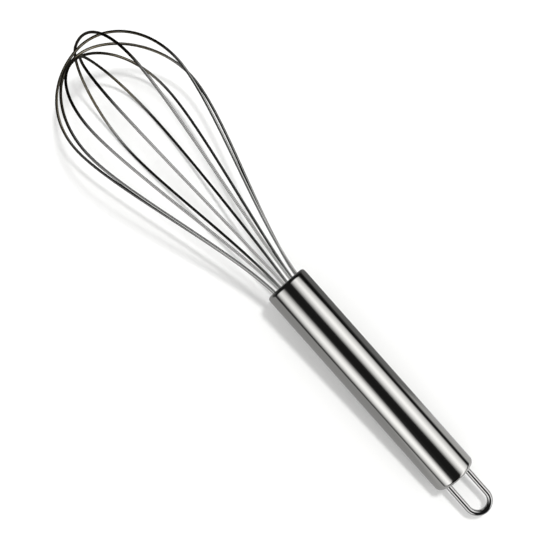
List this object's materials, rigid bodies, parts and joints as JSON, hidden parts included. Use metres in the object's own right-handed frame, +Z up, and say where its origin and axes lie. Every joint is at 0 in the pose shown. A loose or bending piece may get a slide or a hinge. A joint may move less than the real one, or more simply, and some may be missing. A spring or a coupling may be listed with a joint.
{
  "type": "balloon whisk",
  "caption": "Hand whisk with a round polished steel tube handle, a balloon cage of sprung wire loops and a small fixed wire hanging loop.",
  "frame": {"origin": "centre of the bounding box on the surface the whisk lies on", "axes": "+X along the whisk towards the tip of the wire cage, +Z up from the surface"},
  "size_m": [0.3008, 0.0686, 0.069],
  "materials": {
    "polished_steel": "polished",
    "spring_wire": "drawn and polished",
    "hanger_steel": "polished",
    "plain_steel": "turned",
    "guide_plastic": "moulded",
    "potting_resin": "cast"
  },
  "bodies": {
    "root": {"handle_tube": "polished_steel", "wire_loop_1": "spring_wire", "wire_loop_2": "spring_wire", "wire_loop_3": "spring_wire", "wire_loop_4": "spring_wire", "wire_loop_5": "spring_wire", "wire_guide": "guide_plastic", "wire_spreader": "plain_steel", "wire_ferrule": "plain_steel", "mouth_potting": "potting_resin", "rear_cap": "polished_steel", "loop_anchor": "plain_steel", "hanging_loop": "hanger_steel"}
  },
  "joints": []
}
